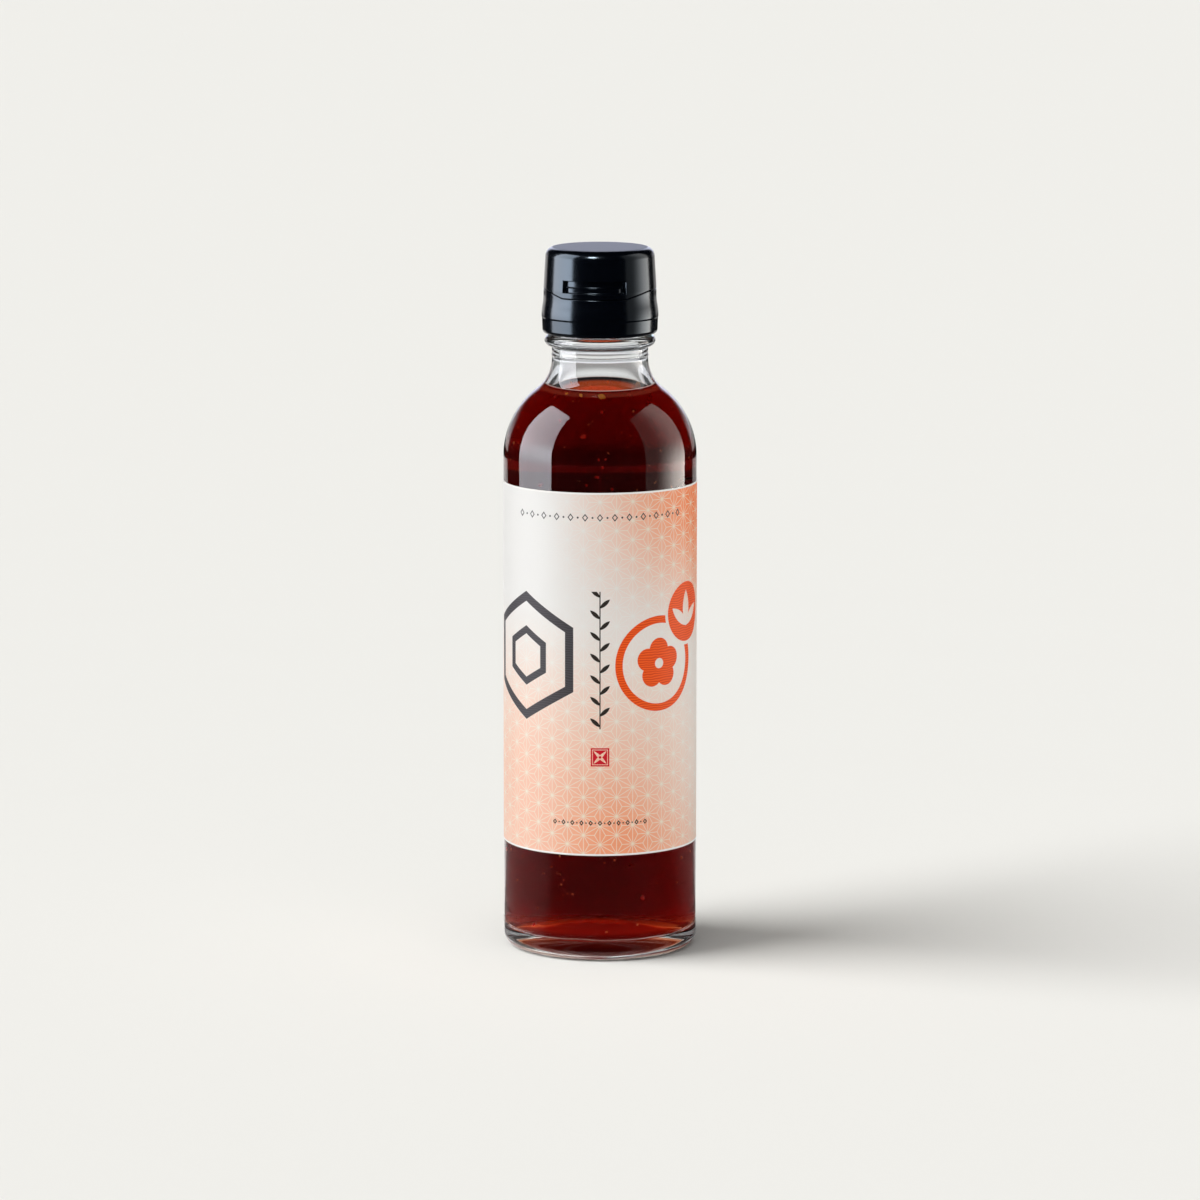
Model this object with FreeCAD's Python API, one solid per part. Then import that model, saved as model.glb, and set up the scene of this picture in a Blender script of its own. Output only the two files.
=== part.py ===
import FreeCAD, Part
import math
import os

# A round glass sauce bottle, filled, with a wrapped paper label and a press-on flip-top cap that is
# shut. Millimetres, +Z up, origin at the centre of the footprint. The front of the label faces -Y.

Vector = FreeCAD.Vector
ORIGIN = Vector(0, 0, 0)
UP = Vector(0, 0, 1)

# Glass bottle
body_diameter = 49.0
body_height = 125.9          # straight side, from the table to where the shoulder starts
body_wall = 2.6
heel_radius = 3.2            # outside corner between the side and the base
inner_heel_radius = 3.0
base_thickness = 4.6         # glass under the contents, at the corner
base_rise = 3.2              # how far the inside floor is domed at its centre
foot_width = 4.4             # flat ring that the bottle stands on
punt_depth = 3.6             # hollow under the base
shoulder_radius = 21.9
neck_fillet_radius = 9.8
neck_diameter = 24.3
neck_wall = 2.05
neck_straight = 3.2          # from the end of the fillet to the bead
mould_line_rise = 0.9        # height of the fine mould line above the end of the fillet
mould_line_height = 0.6
mould_line_reach = 0.14
bead_radius = 1.4            # section of the round bead under the cap
bead_reach = 1.85            # how far the bead stands out from the neck
bead_fillet = 0.5
finish_height = 11.0         # from the bead's underside to the mouth
lip_radius = 0.7

# Contents
headspace = 21.6             # from the mouth down to the surface of the sauce

# Label
label_foot_gap = 27.5        # from the table to the lower edge
label_shoulder_gap = 5.9     # from the upper edge to the start of the shoulder
label_thickness = 0.12

# Flip-top cap. Its radii are given as walls around the neck.
cap_bore_clearance = 0.15
cap_bead_gap = 0.4           # from the top of the bead to the cap's lower edge
cap_edge_wall = 2.35         # at the lower edge
cap_edge_radius = 0.9
cap_band_wall = 2.5          # at the top of the plain lower band
cap_band_height = 3.95
cap_ridge_wall = 2.65        # the widest line, just above the band
cap_ridge_step = 0.15
cap_waist_wall = 2.1
cap_waist_drop = 1.3         # from the parting line down to the waist
cap_deck = 3.6               # from the mouth up to the parting line
cap_turn = -7.0              # degrees that the cap is turned from the middle of the label

lid_height = 10.4
lid_draft = 0.45             # how much narrower the lid is at its top
lid_edge_radius = 2.4
parting_gap = 0.15
bib_drop = 1.6               # how far the lid's front edge hangs below the parting line
bib_flat_angle = 33.0        # half of the level part of the bib, in degrees
bib_end_angle = 66.0         # where its sloping ends meet the parting line
bib_corner_radius = 8.0
bib_inset = 9.0              # depth of the bib behind the cap's side

thumb_rise = 1.5             # from the bib's lower edge up to the thumb recess
thumb_height = 2.9
thumb_depth = 1.2
thumb_half_angle = 34.0
tab_height = 1.3
tab_half_angle = 26.0
tab_setback = 0.3            # the tab's face behind the lid's side

hinge_width = 9.0
hinge_height = 4.0
hinge_thickness = 0.55
hinge_pocket_depth = 0.85
hinge_clearance = 0.2

# Worked out from the sizes above
body_r = body_diameter / 2
neck_r = neck_diameter / 2
cavity_r = body_r - body_wall
bore_r = neck_r - neck_wall
shoulder_centre_r = body_r - shoulder_radius
fillet_centre_r = neck_r + neck_fillet_radius


def fillet_height(convex_radius, concave_radius):
    """Height at which the concave neck fillet ends, tangent to the shoulder arc and to the neck."""
    across = fillet_centre_r - shoulder_centre_r
    return body_height + math.sqrt((convex_radius + concave_radius) ** 2 - across ** 2)


neck_start = fillet_height(shoulder_radius, neck_fillet_radius)
bead_bottom = neck_start + neck_straight
bead_top = bead_bottom + 2 * bead_radius
mouth = bead_bottom + finish_height
sauce_level = mouth - headspace

cap_bottom = bead_top + cap_bead_gap
ridge_height = cap_bottom + cap_band_height
parting_height = mouth + cap_deck
waist_height = parting_height - cap_waist_drop
lid_top = parting_height + lid_height
waist_r = neck_r + cap_waist_wall
bib_bottom = parting_height - bib_drop
thumb_bottom = bib_bottom + thumb_rise


def at(radius, height):
    return Vector(radius, 0, height)


def line(start, end):
    return Part.LineSegment(start, end).toShape()


def arc(centre, radius, start_angle, end_angle):
    """Arc in the XZ plane; angles in radians from +X towards +Z."""
    angles = (start_angle, (start_angle + end_angle) / 2, end_angle)
    return Part.Arc(*[centre + radius * Vector(math.cos(a), 0, math.sin(a)) for a in angles]).toShape()


def dome(edge_r, edge_height, rise):
    """Shallow spherical curve from the axis out to edge_r, rise higher at the axis than at the edge."""
    radius = (edge_r ** 2 + rise ** 2) / (2 * rise)
    middle_height = edge_height + rise - radius + math.sqrt(radius ** 2 - (edge_r / 2) ** 2)
    top, edge = at(0, edge_height + rise), at(edge_r, edge_height)
    return Part.Arc(top, at(edge_r / 2, middle_height), edge).toShape()


SAME_POINT = 1e-7             # ends closer than this already meet


def joined(*edges):
    """Closes a run of edges with straight lines wherever one does not start where the last ended."""
    closed = []
    for edge, following in zip(edges, edges[1:] + edges[:1]):
        end = edge.valueAt(edge.LastParameter)
        start = following.valueAt(following.FirstParameter)
        closed.append(edge)
        if end.distanceToPoint(start) > SAME_POINT:
            closed.append(line(end, start))
    return Part.Face(Part.Wire(closed))


def turned(face, angle=360.0):
    return face.revolve(ORIGIN, UP, angle)


def sector(inner_r, outer_r, low, high, middle_angle, half_angle):
    """Ring segment about Z; angles in degrees from +X."""
    face = joined(line(at(inner_r, low), at(outer_r, low)), line(at(outer_r, high), at(inner_r, high)))
    face.rotate(ORIGIN, UP, middle_angle - half_angle)
    return turned(face, 2 * half_angle)


def shoulder(convex_radius, concave_radius):
    """The convex shoulder arc and the concave neck fillet that follows it, from the side upwards."""
    shoulder_centre = at(shoulder_centre_r, body_height)
    fillet_centre = at(fillet_centre_r, fillet_height(convex_radius, concave_radius))
    turn = math.atan2(fillet_centre.z - shoulder_centre.z, fillet_centre.x - shoulder_centre.x)
    return [
        arc(shoulder_centre, convex_radius, 0, turn),
        arc(fillet_centre, concave_radius, turn + math.pi, math.pi),
    ]


def cavity():
    """The whole space inside the glass, up to the mouth."""
    floor_r = cavity_r - inner_heel_radius
    heel_centre = at(floor_r, base_thickness + inner_heel_radius)
    return turned(joined(
        dome(floor_r, base_thickness, base_rise),
        arc(heel_centre, inner_heel_radius, -math.pi / 2, 0),
        *shoulder(shoulder_radius - body_wall, neck_fillet_radius + neck_wall),
        line(at(bore_r, mouth), at(0, mouth)),
    ))


def glass_bottle():
    foot_r = body_r - heel_radius
    mould_line = neck_start + mould_line_rise
    bead_centre = at(neck_r + bead_reach - bead_radius, bead_bottom + bead_radius)
    outside = turned(joined(
        dome(foot_r - foot_width, 0, punt_depth),
        arc(at(foot_r, heel_radius), heel_radius, -math.pi / 2, 0),
        *shoulder(shoulder_radius, neck_fillet_radius),
        Part.Arc(at(neck_r, mould_line - mould_line_height / 2),
                 at(neck_r + mould_line_reach, mould_line),
                 at(neck_r, mould_line + mould_line_height / 2)).toShape(),
        arc(at(neck_r + bead_fillet, bead_bottom - bead_fillet), bead_fillet, math.pi, math.pi / 2),
        arc(bead_centre, bead_radius, -math.pi / 2, math.pi / 2),
        line(at(neck_r, bead_top), at(neck_r, mouth - lip_radius)),
        arc(at(neck_r - lip_radius, mouth - lip_radius), lip_radius, 0, math.pi / 2),
        line(at(bore_r, mouth), at(0, mouth)),
    ))
    return outside.cut(cavity())


def sauce():
    return cavity().common(Part.makeCylinder(body_diameter, sauce_level))


def label():
    """Wraps all the way round; its two ends meet at the back."""
    top = body_height - label_shoulder_gap
    outer = body_r + label_thickness
    return turned(joined(line(at(body_r, label_foot_gap), at(outer, label_foot_gap)),
                         line(at(outer, top), at(body_r, top))))


def cap_outside():
    """The solid outer form of the shut cap, lid and base together."""
    edge_r = neck_r + cap_edge_wall
    band_r = neck_r + cap_band_wall
    ridge_r = neck_r + cap_ridge_wall
    ridge = ridge_height + cap_ridge_step
    drop = waist_height - ridge
    flare = ridge_r - waist_r
    flare_radius = (drop ** 2 + flare ** 2) / (4 * flare)
    flare_turn = math.asin(drop / 2 / flare_radius)
    top_r = waist_r - lid_draft - lid_edge_radius
    return turned(joined(
        line(at(0, cap_bottom), at(edge_r - cap_edge_radius, cap_bottom)),
        arc(at(edge_r - cap_edge_radius, cap_bottom + cap_edge_radius), cap_edge_radius, -math.pi / 2, 0),
        line(at(band_r, ridge_height), at(ridge_r, ridge)),
        arc(at(ridge_r - flare_radius, ridge), flare_radius, 0, flare_turn),
        arc(at(waist_r + flare_radius, waist_height), flare_radius, math.pi + flare_turn, math.pi),
        line(at(waist_r, waist_height), at(waist_r, parting_height)),
        arc(at(top_r, lid_top - lid_edge_radius), lid_edge_radius, 0, math.pi / 2),
        line(at(0, lid_top), at(0, cap_bottom)),
    ))


def lid_space():
    """Everything above the parting surface: a level plane with a bib hanging down at the front."""
    span = 2 * body_diameter
    above = Part.makeBox(span, span, span, Vector(-span / 2, -span / 2, parting_height))
    flat = waist_r * math.sin(math.radians(bib_flat_angle))
    end = waist_r * math.sin(math.radians(bib_end_angle))
    slope = math.atan2(bib_drop, end - flat)
    reach = bib_corner_radius * math.tan(slope / 2)
    left = arc(at(reach - flat, bib_bottom + bib_corner_radius), bib_corner_radius,
               -math.pi / 2 - slope, -math.pi / 2)
    right = arc(at(flat - reach, bib_bottom + bib_corner_radius), bib_corner_radius,
                -math.pi / 2, slope - math.pi / 2)
    face = joined(left, right, line(at(end, parting_height), at(end, lid_top)),
                  line(at(-end, lid_top), at(-end, parting_height)))
    face.translate(Vector(0, bib_inset - waist_r, 0))
    bib = face.extrude(Vector(0, -span / 2, 0))
    return above.fuse(bib)


def hinge_band(depth, thickness, clearance):
    """A curved plate across the parting line at the back of the cap."""
    half_angle = math.degrees((hinge_width / 2 + clearance) / waist_r)
    low = parting_height - hinge_height / 2 - clearance
    high = parting_height + hinge_height / 2 + clearance
    return sector(waist_r - depth, waist_r - depth + thickness, low, high, 90, half_angle)


def hinge_pocket():
    return hinge_band(hinge_pocket_depth, 2 * hinge_pocket_depth, hinge_clearance)


def cap_base():
    bore = Part.makeCylinder(neck_r + cap_bore_clearance, mouth - cap_bottom, at(0, cap_bottom))
    lid_seat = lid_space().translated(Vector(0, 0, -parting_gap))
    return cap_outside().cut([lid_seat, bore, hinge_pocket()])


def cap_lid():
    floor_r = waist_r - thumb_depth
    recess = sector(floor_r, waist_r + thumb_depth, thumb_bottom, thumb_bottom + thumb_height,
                    -90, thumb_half_angle)
    tab = sector(floor_r - thumb_depth, waist_r - tab_setback, thumb_bottom - tab_height / 2,
                 thumb_bottom + tab_height, -90, tab_half_angle)
    return cap_outside().common(lid_space()).cut([recess, hinge_pocket()]).fuse(tab)


def cap_hinge():
    return hinge_band(hinge_pocket_depth, hinge_thickness, 0)


def export(name, shape, turn=0.0):
    """Writes one solid, turned about Z by the given degrees."""
    solid = shape.removeSplitter().Solids[0]
    solid.rotate(ORIGIN, UP, turn)
    solid.exportStep(f"parts/{name}.step")


os.makedirs("parts", exist_ok=True)
export("glass_bottle", glass_bottle())
export("sauce", sauce())
export("label", label())
export("cap_base", cap_base(), cap_turn)
export("cap_lid", cap_lid(), cap_turn)
export("cap_hinge", cap_hinge(), cap_turn)
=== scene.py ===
import math
import random

import bpy
import numpy as np
from mathutils import Euler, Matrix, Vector


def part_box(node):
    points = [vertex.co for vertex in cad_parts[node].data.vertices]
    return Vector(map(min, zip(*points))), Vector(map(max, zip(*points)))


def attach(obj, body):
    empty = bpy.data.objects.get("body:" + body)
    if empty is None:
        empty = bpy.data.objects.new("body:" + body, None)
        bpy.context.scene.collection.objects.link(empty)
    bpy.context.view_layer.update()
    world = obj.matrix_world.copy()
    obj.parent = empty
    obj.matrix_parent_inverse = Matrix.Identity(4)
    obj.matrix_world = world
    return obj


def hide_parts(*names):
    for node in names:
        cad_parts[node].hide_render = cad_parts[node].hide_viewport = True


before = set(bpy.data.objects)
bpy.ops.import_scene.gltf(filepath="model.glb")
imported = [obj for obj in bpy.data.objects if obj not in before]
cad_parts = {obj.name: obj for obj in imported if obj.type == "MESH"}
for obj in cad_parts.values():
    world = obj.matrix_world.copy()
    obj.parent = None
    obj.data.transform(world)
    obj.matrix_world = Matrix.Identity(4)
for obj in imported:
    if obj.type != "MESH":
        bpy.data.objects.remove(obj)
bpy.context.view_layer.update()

# A round glass sauce bottle, filled, with a wrapped paper label and a shut flip-top cap, on a pale
# floor in soft light. Metres, +Z up, the front of the label towards -Y.

MM = 0.001
TAU = 2 * math.pi

# ---------------------------------------------------------------- sizes
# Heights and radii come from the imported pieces. The smaller forms repeat the part's own sizes, but
# for a tenth of a millimetre or so at the cap's ridge, bore and tab.

glass_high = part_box("glass_bottle")[1]
sauce_low, sauce_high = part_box("sauce")
label_low, label_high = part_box("label")
cap_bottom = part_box("cap_base")[0].z
lid_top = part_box("cap_lid")[1].z
hinge_low, hinge_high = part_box("cap_hinge")

body_r = glass_high.x
cavity_r = sauce_high.x
mouth = glass_high.z
fill_line = sauce_high.z
floor_edge = sauce_low.z

body_height = 125.9 * MM
body_wall = body_r - cavity_r
heel_radius = 3.2 * MM
inner_heel_radius = 3.0 * MM
base_rise = 3.2 * MM
foot_width = 4.4 * MM
punt_depth = 3.6 * MM
shoulder_radius = 21.9 * MM
neck_fillet_radius = 9.8 * MM
neck_r = 12.15 * MM
neck_wall = 2.05 * MM
mould_line_rise = 0.9 * MM
mould_line_height = 0.6 * MM
mould_line_reach = 0.14 * MM
bead_radius = 1.4 * MM
bead_reach = 1.85 * MM
bead_fillet = 0.5 * MM
finish_height = 11.0 * MM
lip_radius = 0.7 * MM

bore_r = neck_r - neck_wall
shoulder_centre_r = body_r - shoulder_radius
fillet_centre_r = neck_r + neck_fillet_radius
bead_bottom = mouth - finish_height
neck_start = bead_bottom - 3.2 * MM

wall_overlap = 0.1 * MM      # how far the sauce reaches into the glass
meniscus_height = 0.9 * MM
meniscus_width = 1.4 * MM

cap_turn = math.radians(-7)
parting = mouth + 3.6 * MM
waist_r = neck_r + 2.1 * MM
waist_height = parting - 1.3 * MM
band_top = cap_bottom + 3.95 * MM
band_r = neck_r + 2.5 * MM
edge_r = neck_r + 2.35 * MM
ridge_r = neck_r + 2.60 * MM
ridge_step = 0.15 * MM
cap_edge_radius = 0.9 * MM
lid_draft = 0.45 * MM
lid_edge_radius = 2.4 * MM
parting_gap = 0.15 * MM
parting_round = 0.16 * MM
parting_depth = 2.0 * MM     # how far the faces along the parting line run inwards
bib_drop = 1.6 * MM
bib_flat = waist_r * math.sin(math.radians(33))
bib_end = waist_r * math.sin(math.radians(66))
thumb_low = parting - bib_drop + 1.5 * MM
thumb_height = 2.9 * MM
thumb_depth = 1.2 * MM
thumb_half = math.radians(34)
tab_height = 1.3 * MM
tab_half = math.radians(26)
tab_bevel = 2.3 * MM
tab_setback = 0.4 * MM       # the tab's face behind the lid's side
recess_edge = 0.34 * MM      # rounding round the recess, the tab and the hinge pocket
hinge_half = 4.5 * MM / waist_r
hinge_half_height = (hinge_high.z - hinge_low.z) / 2
hinge_depth = 0.85 * MM
hinge_thickness = 0.55 * MM
hinge_clearance = 0.2 * MM
hinge_fold_depth = 0.28 * MM
hinge_fold_width = 0.35 * MM

# ---------------------------------------------------------------- meshes

def new_group(name):
    """A collection of its own in the scene."""
    made = bpy.data.collections.new(name)
    bpy.context.scene.collection.children.link(made)
    return made


bottle = new_group("bottle")
studio = new_group("studio")
floor_group = new_group("floor_only")
lamp_takers = new_group("lamp_takers")


def arc(centre_r, centre_z, radius, start, end, count=24):
    """Points of an arc in the half plane, as (radius from the axis, height)."""
    angles = np.linspace(start, end, count)
    return [(centre_r + radius * math.cos(a), centre_z + radius * math.sin(a)) for a in angles]


def run(start, end, count):
    """Evenly spaced points strictly between two profile points."""
    return [tuple(p) for p in np.linspace(start, end, count + 2)[1:-1]]


def dome(edge_radius, edge_height, rise, count=24):
    """Shallow dome from the axis outwards."""
    radius = (edge_radius ** 2 + rise ** 2) / (2 * rise)
    spread = math.asin(edge_radius / radius)
    points = arc(0, edge_height + rise - radius, radius, math.pi / 2, math.pi / 2 - spread, count)
    return [(0.0, edge_height + rise)] + points[1:]


def shoulder(convex, concave):
    """Shoulder arc and neck fillet, tangent to each other, from the side upwards."""
    across = fillet_centre_r - shoulder_centre_r
    height = math.sqrt((convex + concave) ** 2 - across ** 2)
    turn = math.atan2(height, across)
    return (arc(shoulder_centre_r, body_height, convex, 0, turn, 60)
            + arc(fillet_centre_r, body_height + height, concave, turn + math.pi, math.pi, 40)[1:])


def split_at(profile, height):
    """Adds a point where a rising profile passes the height."""
    out = [profile[0]]
    for (r0, z0), (r1, z1) in zip(profile, profile[1:]):
        if z0 < height < z1:
            share = (height - z0) / (z1 - z0)
            out.append((r0 + share * (r1 - r0), height))
        out.append((r1, z1))
    return out


def new_piece(name, vertices, faces, slots=None, materials=(), smooth_angle=40):
    """A piece of the bottle. Edges sharper than the angle stay crisp, and the rest is smooth."""
    mesh = bpy.data.meshes.new(name)
    mesh.from_pydata(vertices, [], faces)
    for material in materials:
        mesh.materials.append(material)
    if slots is not None:
        mesh.polygons.foreach_set("material_index", slots)
    mesh.polygons.foreach_set("use_smooth", [True] * len(mesh.polygons))
    mesh.set_sharp_from_angle(angle=math.radians(smooth_angle))
    mesh.update()
    piece = bpy.data.objects.new(name, mesh)
    bottle.objects.link(piece)
    return piece


def ring_faces(rows, columns, closed=True):
    """Quads between neighbouring rows of a grid whose vertices run row by row."""
    last = columns if closed else columns - 1
    faces = []
    for row in range(rows - 1):
        for column in range(last):
            following = (column + 1) % columns
            low, high = row * columns, (row + 1) * columns
            faces.append((low + column, low + following, high + following, high + column))
    return faces


ON_AXIS = 1e-7               # a smaller radius is a pole


def turned(name, profile, materials, slot_of=None, segments=256, shift=None, smooth_angle=40):
    """A solid of revolution. Profile points run so that the outside lies on their right. Slot_of
    gives the material of each band, and shift lifts single points."""
    angles = np.arange(segments) * TAU / segments
    vertices, faces, slots = [], [], []
    starts = []
    for radius, height in profile:
        starts.append(len(vertices))
        if radius < ON_AXIS:
            vertices.append((0, 0, height))
            continue
        for angle in angles:
            rise = shift(angle, radius, height) if shift else 0
            vertices.append((radius * math.cos(angle), radius * math.sin(angle), height + rise))
    for index in range(len(profile) - 1):
        low, high = starts[index], starts[index + 1]
        low_pole = profile[index][0] < ON_AXIS
        high_pole = profile[index + 1][0] < ON_AXIS
        slot = slot_of(index) if slot_of else 0
        for column in range(segments):
            following = (column + 1) % segments
            if low_pole:
                faces.append((low, high + following, high + column))
            elif high_pole:
                faces.append((low + column, low + following, high))
            else:
                faces.append((low + column, low + following, high + following, high + column))
            slots.append(slot)
    return new_piece(name, vertices, faces, slots, materials, smooth_angle)


# ---------------------------------------------------------------- nodes

def feed(tree, made, inputs):
    """Sets the inputs of a node to values, or links them to sockets."""
    for key, value in (inputs or {}).items():
        if isinstance(value, bpy.types.NodeSocket):
            tree.links.new(value, made.inputs[key])
        else:
            made.inputs[key].default_value = value


def add(tree, kind, inputs=None, **settings):
    """A node with its settings and its inputs."""
    made = tree.nodes.new(kind)
    for key, value in settings.items():
        setattr(made, key, value)
    feed(tree, made, inputs)
    return made


def calc(tree, operation, *values):
    """Result of one operation on numbers and sockets."""
    return add(tree, "ShaderNodeMath", dict(enumerate(values)), operation=operation).outputs[0]


def own_place(tree):
    """Place on the piece in metres, as a vector."""
    return add(tree, "ShaderNodeTexCoord").outputs["Object"]


def parts_of(tree, vector):
    """The X, Y and Z of a vector."""
    return add(tree, "ShaderNodeSeparateXYZ", {0: vector}).outputs


def facing(tree):
    """Direction that the surface faces."""
    return add(tree, "ShaderNodeNewGeometry").outputs["Normal"]


def ramp(tree, value, low, high, start=0.0, end=1.0):
    """Smooth step of the value from start to end between low and high."""
    made = add(tree, "ShaderNodeMapRange", {"Value": value, "From Min": low, "From Max": high,
               "To Min": start, "To Max": end}, interpolation_type="SMOOTHSTEP")
    return made.outputs["Result"]


def mix(tree, factor, first, second):
    """Colour between the first at factor 0 and the second at factor 1."""
    made = add(tree, "ShaderNodeMix", {"Factor": factor, 6: first, 7: second}, data_type="RGBA")
    return made.outputs[2]


class Num:
    """A number in a node tree that takes part in ordinary sums."""

    def __init__(self, tree, socket):
        self.tree, self.socket = tree, socket

    def do(self, operation, *others, first=None):
        values = [o.socket if isinstance(o, Num) else o for o in others]
        head = [self.socket] if first is None else [first, self.socket]
        return Num(self.tree, calc(self.tree, operation, *head, *values))

    def __add__(self, other):
        return self.do("ADD", other)

    __radd__ = __add__

    def __sub__(self, other):
        return self.do("SUBTRACT", other)

    def __rsub__(self, other):
        return self.do("SUBTRACT", first=other)

    def __mul__(self, other):
        return self.do("MULTIPLY", other)

    __rmul__ = __mul__

    def __truediv__(self, other):
        return self.do("DIVIDE", other)

    def __pow__(self, other):
        return self.do("POWER", other)

    def __neg__(self):
        return self.do("MULTIPLY", -1.0)

    def __abs__(self):
        return self.do("ABSOLUTE")

    def lower(self, other):
        return self.do("MINIMUM", other)

    def upper(self, other):
        return self.do("MAXIMUM", other)

    def above(self, other):
        return self.do("GREATER_THAN", other)

    def root(self):
        return self.do("SQRT")

    def sine(self):
        return self.do("SINE")

    def exponential(self):
        return self.do("EXPONENT")

    def fraction(self):
        return self.do("FRACT")

    def floor(self):
        return self.do("FLOOR")

    def ramp(self, low, high):
        """Smooth step from 0 at low to 1 at high; low may be the larger."""
        return Num(self.tree, ramp(self.tree, self.socket, low, high))


def material(name):
    """An empty material and its node tree."""
    made = bpy.data.materials.new(name)
    made.use_nodes = True
    made.node_tree.nodes.clear()
    return made, made.node_tree


def finish_with(tree, surface, volume=None):
    """Ends a material with its surface and, for clear stuff, what fills it."""
    out = add(tree, "ShaderNodeOutputMaterial", {"Surface": surface})
    if volume:
        tree.links.new(volume, out.inputs["Volume"])


def effect(name, inputs, outputs):
    """An empty node group with float, colour or vector sockets."""
    kinds = {"float": "NodeSocketFloat", "colour": "NodeSocketColor", "vector": "NodeSocketVector"}
    tree = bpy.data.node_groups.new(name, "ShaderNodeTree")
    for label, kind in inputs.items():
        tree.interface.new_socket(label, in_out="INPUT", socket_type=kinds[kind])
    for label, kind in outputs.items():
        tree.interface.new_socket(label, in_out="OUTPUT", socket_type=kinds[kind])
    return tree, tree.nodes.new("NodeGroupInput").outputs, tree.nodes.new("NodeGroupOutput").inputs


def place(tree, group, inputs=None):
    """An effect set into a material, with its own values."""
    made = tree.nodes.new("ShaderNodeGroup")
    made.node_tree = group
    feed(tree, made, inputs)
    return made.outputs


def wavy_surface():
    """Slow waviness and fine grain of a moulded surface, as a normal."""
    tree, given, out = effect("wavy surface", {"Wave Size": "float", "Wave Depth": "float",
                              "Grain Size": "float", "Grain Depth": "float"}, {"Normal": "vector"})
    spot = own_place(tree)
    wave = add(tree, "ShaderNodeTexNoise", {"Vector": spot, "Detail": 1.0,
               "Scale": calc(tree, "DIVIDE", 1.0, given["Wave Size"])})
    grain = add(tree, "ShaderNodeTexNoise", {"Vector": spot, "Detail": 3.0,
                "Scale": calc(tree, "DIVIDE", 1.0, given["Grain Size"])})
    height = calc(tree, "ADD", calc(tree, "MULTIPLY", wave.outputs["Fac"], given["Wave Depth"]),
                  calc(tree, "MULTIPLY", grain.outputs["Fac"], given["Grain Depth"]))
    bump = add(tree, "ShaderNodeBump", {"Height": height, "Distance": 1.0})
    tree.links.new(bump.outputs["Normal"], out["Normal"])
    return tree


WAVY = wavy_surface()


# ---------------------------------------------------------------- materials

def clear_glass(name, ior, tinted):
    """Clear soda glass. Its faint tint shows where light runs along the wall and in the thick base."""
    made, tree = material(name)
    normal = place(tree, WAVY, {"Wave Size": 9 * MM, "Wave Depth": 0.012 * MM,
                                "Grain Size": 2.5 * MM, "Grain Depth": 0.001 * MM})["Normal"]
    shader = add(tree, "ShaderNodeBsdfPrincipled", {
        "Base Color": (1, 1, 1, 1), "Roughness": 0.0, "IOR": ior, "Transmission Weight": 1.0,
        "Normal": normal})
    if not tinted:
        finish_with(tree, shader.outputs["BSDF"])
        return made
    tint = add(tree, "ShaderNodeVolumeAbsorption", {"Color": (0.55, 0.90, 0.88, 1), "Density": 8.0})
    finish_with(tree, shader.outputs["BSDF"], tint.outputs["Volume"])
    return made


def dark_sauce():
    """Red-brown liquid. It absorbs, and a faint painted glow stands for light above the clear base and at
    its free surface, with a painted highlight at the wall line; the free surface alone mirrors, as a
    coat."""
    # Painted light: a glow above the clear base, a glow on the free surface that is dimmer at its rim,
    # and a highlight at the wall line.
    painted_foot_glow = (0.085, 0.0015, 0.0005, 1)
    painted_surface_glow_rim = (0.050, 0.012, 0.006, 1)
    painted_surface_glow_middle = (0.27, 0.034, 0.003, 1)
    painted_wall_line_highlight = (0.42, 0.34, 0.31, 1)
    made, tree = material("dark_sauce")
    upward = parts_of(tree, facing(tree))["Z"]
    spot = parts_of(tree, own_place(tree))
    height = spot["Z"]
    out = length(Num(tree, spot["X"]), Num(tree, spot["Y"])).socket
    on_top = calc(tree, "MULTIPLY", ramp(tree, upward, 0.2, 0.3),
                  calc(tree, "GREATER_THAN", height, fill_line - 2 * meniscus_height))
    flat_part = ramp(tree, height, fill_line - 0.6 * meniscus_height, fill_line - 0.95 * meniscus_height)
    wall_line_highlight_band = ramp(tree, height, fill_line - 0.24 * MM, fill_line - 0.10 * MM)
    low_part = calc(tree, "MULTIPLY", ramp(tree, height, floor_edge + 9 * MM, floor_edge + 1 * MM),
                    ramp(tree, upward, -0.5, -0.1))
    # The emission built here is painted glow and a painted highlight, not light from a lamp.
    painted_glow = mix(tree, low_part, (0, 0, 0, 1), painted_foot_glow)
    surface = mix(tree, ramp(tree, out, 10.4 * MM, 7.4 * MM), painted_surface_glow_rim, painted_surface_glow_middle)
    painted_glow = mix(tree, calc(tree, "MULTIPLY", on_top, flat_part), painted_glow, surface)
    painted_glow = mix(tree, calc(tree, "MULTIPLY", on_top, wall_line_highlight_band), painted_glow, painted_wall_line_highlight)
    shader = add(tree, "ShaderNodeBsdfPrincipled", {
        "Base Color": (1, 1, 1, 1), "Roughness": 0.0, "IOR": 1.0, "Transmission Weight": 1.0,
        "Coat Weight": calc(tree, "MULTIPLY", on_top, 0.03), "Coat IOR": 1.36, "Coat Roughness": 0.0,
        "Emission Color": painted_glow, "Emission Strength": 1.0})
    depth = add(tree, "ShaderNodeVolumeAbsorption", {"Color": (0.838, 0.385, 0.026, 1), "Density": 390.0})
    finish_with(tree, shader.outputs["BSDF"], depth.outputs["Volume"])
    return made


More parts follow.
